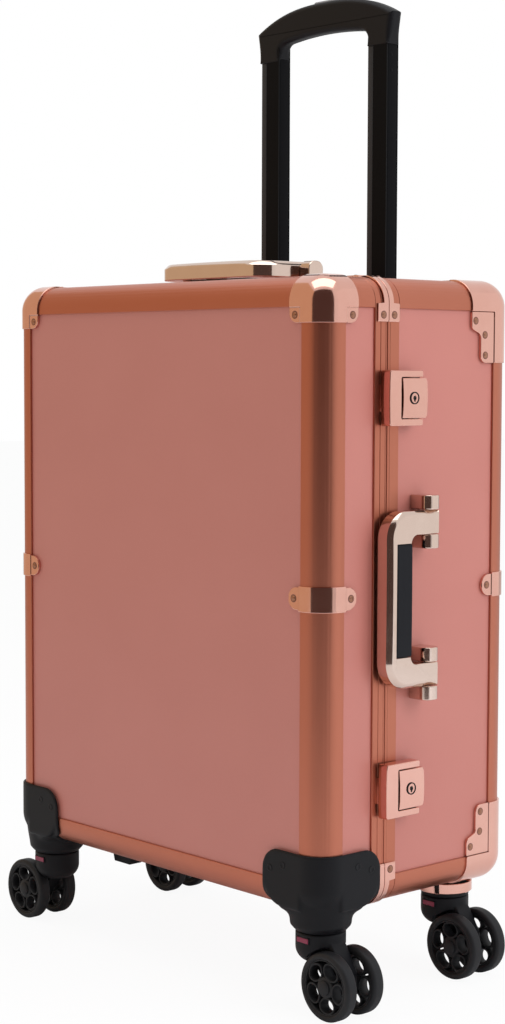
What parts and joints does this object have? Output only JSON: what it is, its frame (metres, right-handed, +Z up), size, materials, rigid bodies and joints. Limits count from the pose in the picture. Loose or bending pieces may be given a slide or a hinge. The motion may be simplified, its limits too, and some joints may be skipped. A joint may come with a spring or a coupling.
{
  "type": "rolling makeup case",
  "caption": "Hard rolling case with rounded metal edges, a lid on side hinges, draw latches, carry handles, a telescopic trolley and twin-wheel swivel casters.",
  "frame": {"origin": "on the floor, under the middle of the case", "axes": "+Z up, +X to the right of the front (the latch side), the lid's front faces -Y"},
  "size_m": [0.518, 0.2565, 0.9495],
  "materials": {
    "panel": "satin pink laminate",
    "profile": "satin rose-gold anodised",
    "fitting": "polished rose-gold plating",
    "champagne": "polished champagne-gold plating",
    "black_plastic": "matt black",
    "black_metal": "matt black anodised",
    "wheel": "satin black",
    "steel": "zinc plated",
    "button": "grey",
    "lining": "dark velvet lining",
    "board": "lined board",
    "mirror": "silvered"
  },
  "bodies": {
    "base": {"back_panel": "panel", "base_side_panels": "panel", "base_edge_profiles": "profile", "base_rim_profile": "profile", "rear_corner_plates": "fitting", "base_clips": "fitting", "base_rivets": "fitting", "base_lining": "lining", "trolley_cover_board": "board", "divider_shelves": "board", "rear_caster_mounts": "fitting", "base_hinge_leaves": "fitting", "pivot_pins": "steel", "handle_brackets": "champagne", "trolley_channels": "black_plastic", "trolley_bezels": "black_plastic", "latch_base_plates": "fitting"},
    "lid": {"front_panel": "panel", "lid_side_panels": "panel", "lid_edge_profiles": "profile", "lid_rim_profile": "profile", "ball_corners": "fitting", "lid_clips": "fitting", "lid_rivets": "fitting", "lid_lining": "lining", "mirror": "mirror", "caster_guards": "black_plastic", "lid_hinge_leaves": "fitting", "latch_strikes": "fitting", "lid_skid": "black_plastic"},
    "trolley": {"trolley_tubes": "black_metal", "trolley_grip": "black_plastic"},
    "trolley_push_button": {"trolley_button": "button"},
    "side_carry_handle": {"side_handle": "champagne", "side_handle_pad": "black_plastic"},
    "top_carry_handle": {"top_handle": "champagne", "top_handle_pad": "black_plastic"},
    "upper_lever": {"upper_latch_lever": "fitting"},
    "upper_link": {"upper_latch_link": "fitting"},
    "upper_key": {"upper_lock_cylinder": "steel"},
    "lower_lever": {"lower_latch_lever": "fitting"},
    "lower_link": {"lower_latch_link": "fitting"},
    "lower_key": {"lower_lock_cylinder": "steel"},
    "front_right_swivel": {"front_right_fork": "black_plastic", "front_right_axle": "steel"},
    "front_right_outer": {"front_right_outer_wheel": "wheel"},
    "front_right_inner": {"front_right_inner_wheel": "wheel"},
    "front_left_swivel": {"front_left_fork": "black_plastic", "front_left_axle": "steel"},
    "front_left_outer": {"front_left_outer_wheel": "wheel"},
    "front_left_inner": {"front_left_inner_wheel": "wheel"},
    "rear_right_swivel": {"rear_right_fork": "black_plastic", "rear_right_axle": "steel"},
    "rear_right_outer": {"rear_right_outer_wheel": "wheel"},
    "rear_right_inner": {"rear_right_inner_wheel": "wheel"},
    "rear_left_swivel": {"rear_left_fork": "black_plastic", "rear_left_axle": "steel"},
    "rear_left_outer": {"rear_left_outer_wheel": "wheel"},
    "rear_left_inner": {"rear_left_inner_wheel": "wheel"}
  },
  "joints": [
    {"name": "lid_hinge", "type": "hinge", "parent": "base", "child": "lid", "pos_m": [-0.2351, -0.045, 0.092], "axis": [0, 0, -1], "range_deg": [0, 110]},
    {"name": "trolley_slide", "type": "slide", "parent": "base", "child": "trolley", "axis": [0, 0, 1], "range_m": [-0.23, 0.15]},
    {"name": "trolley_button_press", "type": "slide", "parent": "trolley", "child": "trolley_push_button", "axis": [0, 0, -1], "range_m": [0, 0.004], "stiffness_N_per_m": 400},
    {"name": "side_handle_pivot", "type": "hinge", "parent": "base", "child": "side_carry_handle", "pos_m": [0.241, -0.003, 0.373], "axis": [0, 0, 1], "range_deg": [0, 90]},
    {"name": "top_handle_pivot", "type": "hinge", "parent": "base", "child": "top_carry_handle", "pos_m": [0, -0.003, 0.673], "axis": [-1, 0, 0], "range_deg": [0, 90]},
    {"name": "upper_lever_pivot", "type": "hinge", "parent": "base", "child": "upper_lever", "pos_m": [0.2355, -0.0365, 0.554], "axis": [0, 0, -1], "range_deg": [0, 85]},
    {"name": "upper_link_pivot", "type": "hinge", "parent": "upper_lever", "child": "upper_link", "pos_m": [0.2395, -0.017, 0.554], "axis": [0, 0, 1], "range_deg": [0, 85]},
    {"name": "upper_key_turn", "type": "hinge", "parent": "upper_lever", "child": "upper_key", "pos_m": [0.24, -0.0235, 0.554], "axis": [1, 0, 0], "range_deg": [0, 90]},
    {"name": "lower_lever_pivot", "type": "hinge", "parent": "base", "child": "lower_lever", "pos_m": [0.2355, -0.0365, 0.2], "axis": [0, 0, -1], "range_deg": [0, 85]},
    {"name": "lower_link_pivot", "type": "hinge", "parent": "lower_lever", "child": "lower_link", "pos_m": [0.2395, -0.017, 0.2], "axis": [0, 0, 1], "range_deg": [0, 85]},
    {"name": "lower_key_turn", "type": "hinge", "parent": "lower_lever", "child": "lower_key", "pos_m": [0.24, -0.0235, 0.2], "axis": [1, 0, 0], "range_deg": [0, 90]},
    {"name": "front_right_swivel_joint", "type": "hinge", "parent": "lid", "child": "front_right_swivel", "pos_m": [0.2, -0.095, 0.062], "axis": [0, 0, 1], "continuous": true},
    {"name": "front_right_outer_wheel_spin", "type": "hinge", "parent": "front_right_swivel", "child": "front_right_outer", "pos_m": [0.228, -0.095, 0.031], "axis": [0, 1, 0], "continuous": true},
    {"name": "front_right_inner_wheel_spin", "type": "hinge", "parent": "front_right_swivel", "child": "front_right_inner", "pos_m": [0.228, -0.095, 0.031], "axis": [0, 1, 0], "continuous": true},
    {"name": "front_left_swivel_joint", "type": "hinge", "parent": "lid", "child": "front_left_swivel", "pos_m": [-0.2, -0.095, 0.062], "axis": [0, 0, 1], "continuous": true},
    {"name": "front_left_outer_wheel_spin", "type": "hinge", "parent": "front_left_swivel", "child": "front_left_outer", "pos_m": [-0.228, -0.095, 0.031], "axis": [0, 1, 0], "continuous": true},
    {"name": "front_left_inner_wheel_spin", "type": "hinge", "parent": "front_left_swivel", "child": "front_left_inner", "pos_m": [-0.228, -0.095, 0.031], "axis": [0, 1, 0], "continuous": true},
    {"name": "rear_right_swivel_joint", "type": "hinge", "parent": "base", "child": "rear_right_swivel", "pos_m": [0.188, 0.083, 0.062], "axis": [0, 0, 1], "continuous": true},
    {"name": "rear_right_outer_wheel_spin", "type": "hinge", "parent": "rear_right_swivel", "child": "rear_right_outer", "pos_m": [0.216, 0.083, 0.031], "axis": [0, 1, 0], "continuous": true},
    {"name": "rear_right_inner_wheel_spin", "type": "hinge", "parent": "rear_right_swivel", "child": "rear_right_inner", "pos_m": [0.216, 0.083, 0.031], "axis": [0, 1, 0], "continuous": true},
    {"name": "rear_left_swivel_joint", "type": "hinge", "parent": "base", "child": "rear_left_swivel", "pos_m": [-0.188, 0.083, 0.062], "axis": [0, 0, 1], "continuous": true},
    {"name": "rear_left_outer_wheel_spin", "type": "hinge", "parent": "rear_left_swivel", "child": "rear_left_outer", "pos_m": [-0.216, 0.083, 0.031], "axis": [0, 1, 0], "continuous": true},
    {"name": "rear_left_inner_wheel_spin", "type": "hinge", "parent": "rear_left_swivel", "child": "rear_left_inner", "pos_m": [-0.216, 0.083, 0.031], "axis": [0, 1, 0], "continuous": true}
  ],
  "couplings": [
    {"joint": "upper_link_pivot", "follows": "upper_lever_pivot", "ratio": 1},
    {"joint": "lower_link_pivot", "follows": "lower_lever_pivot", "ratio": 1}
  ]
}
